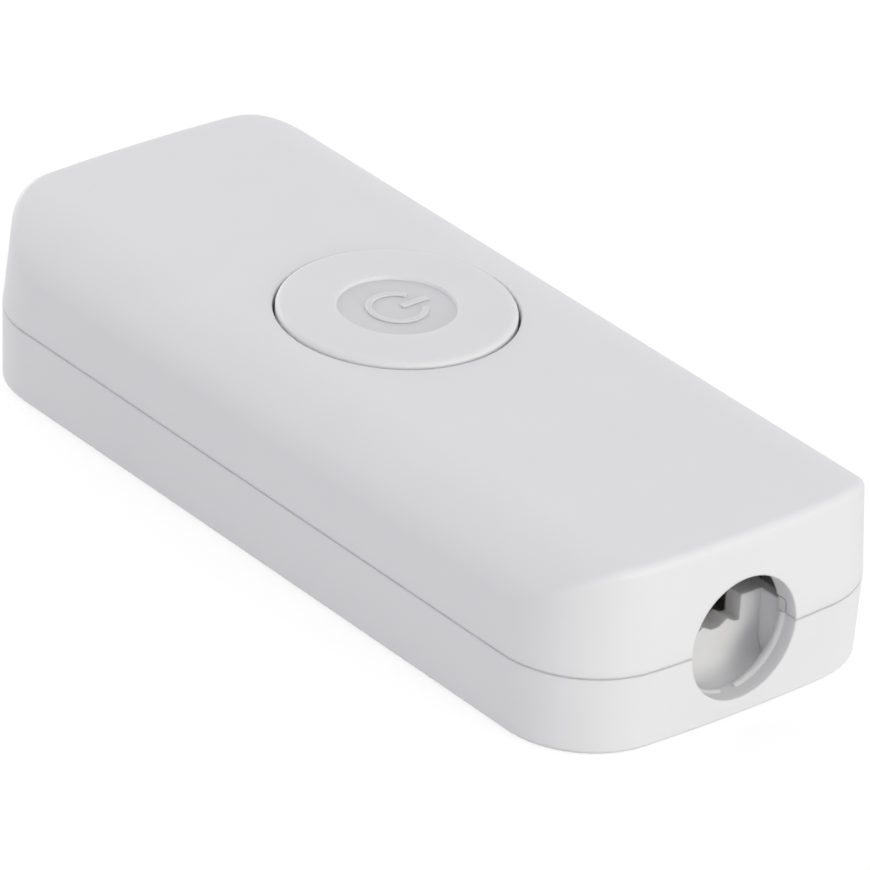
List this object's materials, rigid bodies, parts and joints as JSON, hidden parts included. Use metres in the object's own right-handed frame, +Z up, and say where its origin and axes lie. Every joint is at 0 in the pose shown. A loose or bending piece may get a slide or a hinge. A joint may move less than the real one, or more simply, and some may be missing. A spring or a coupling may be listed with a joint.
{
  "type": "inline cord dimmer",
  "caption": "Slim white moulded inline cord dimmer: screwed two-part housing, round push button, and a cord mouth at each end.",
  "frame": {"origin": "middle of the flat base, on the surface it rests on", "axes": "+X along the housing to the end whose cord mouth the picture shows, +Y across it, +Z up through the button"},
  "size_m": [0.0878, 0.0382, 0.0183],
  "materials": {
    "shell_plastic": "fine moulded texture, white",
    "button_plastic": "smooth moulded, white",
    "plated_steel": "zinc plated",
    "board_laminate": "solder mask, green",
    "black_moulding": "moulded epoxy, black",
    "pressed_steel": "pressed sheet, tinned",
    "plunger_plastic": "moulded, natural",
    "terminal_plastic": "moulded, grey",
    "terminal_brass": "nickel-free stamped brass",
    "capacitor_case": "moulded box, yellow",
    "capacitor_can": "sleeved can",
    "ferrite": "sintered ferrite",
    "copper_wire": "enamelled copper wire",
    "fuse_case": "moulded case, black",
    "varistor_coating": "dipped coating, blue",
    "spreader_aluminium": "cut sheet",
    "resistor_ceramic": "thick-film ceramic"
  },
  "bodies": {
    "housing": {"board_screws": "plated_steel", "bridge_rectifier": "black_moulding", "chip_resistors": "resistor_ceramic", "choke_core": "ferrite", "choke_winding": "copper_wire", "circuit_board": "board_laminate", "control_chip": "black_moulding", "film_capacitor": "capacitor_case", "fuse": "fuse_case", "heat_spreader": "spreader_aluminium", "housing_screws": "plated_steel", "lower_shell": "shell_plastic", "power_transistors": "black_moulding", "storage_capacitor": "capacitor_can", "switch_base": "black_moulding", "switch_cover": "pressed_steel", "terminal_block_front": "terminal_plastic", "terminal_block_rear": "terminal_plastic", "terminal_screws": "plated_steel", "upper_shell": "shell_plastic", "varistor": "varistor_coating", "wire_cages": "terminal_brass"},
    "button": {"push_button": "button_plastic", "switch_plunger": "plunger_plastic"}
  },
  "joints": [
    {"name": "button_press", "type": "slide", "parent": "housing", "child": "button", "axis": [0, 0, -1], "range_m": [0, 0.0006], "stiffness_N_per_m": 3000, "springref_m": -0.0004}
  ]
}
